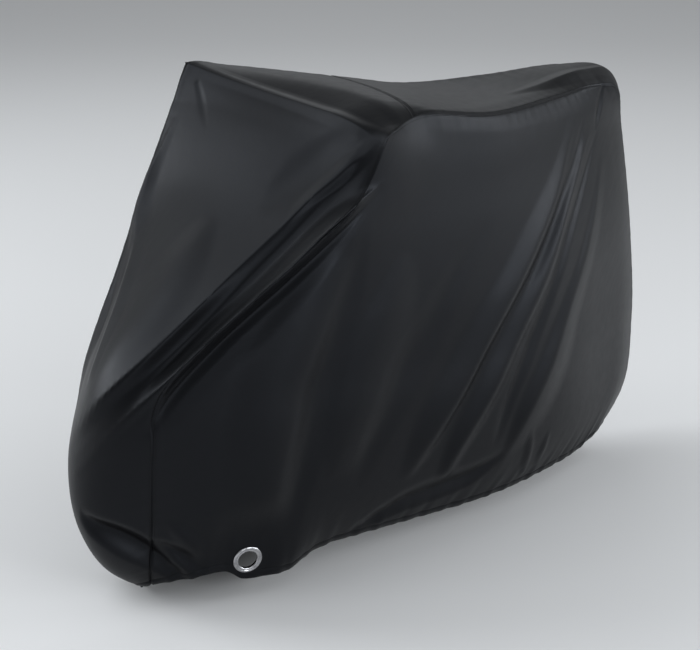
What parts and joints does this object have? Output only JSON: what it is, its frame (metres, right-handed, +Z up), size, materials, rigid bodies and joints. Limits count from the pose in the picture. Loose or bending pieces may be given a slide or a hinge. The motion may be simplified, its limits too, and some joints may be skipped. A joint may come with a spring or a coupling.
{
  "type": "fitted bicycle cover",
  "caption": "Fitted black cloth cover for one bicycle, open underneath, draped over bar and saddle, with a metal lock eyelet at its hem.",
  "frame": {"origin": "inner face of the cloth at the middle of the handlebar, where the bicycle's bar carries the cover", "axes": "+X from the front wheel towards the rear wheel, +Y towards the far flank (the flank without the eyelet), +Z up"},
  "size_m": [1.7172, 0.6473, 1.0908],
  "materials": {
    "coated_cloth": "satin black coated polyester with a soft sheen",
    "bright_metal": "bright plated metal",
    "black_elastic": "matt woven elastic cord"
  },
  "bodies": {
    "root": {"front_panel": "coated_cloth", "rear_panel": "coated_cloth", "near_side_panel": "coated_cloth", "far_side_panel": "coated_cloth", "eyelet_tab": "coated_cloth", "eyelet": "bright_metal", "eyelet_washer": "bright_metal", "hem_cord_knot": "black_elastic"}
  },
  "joints": []
}
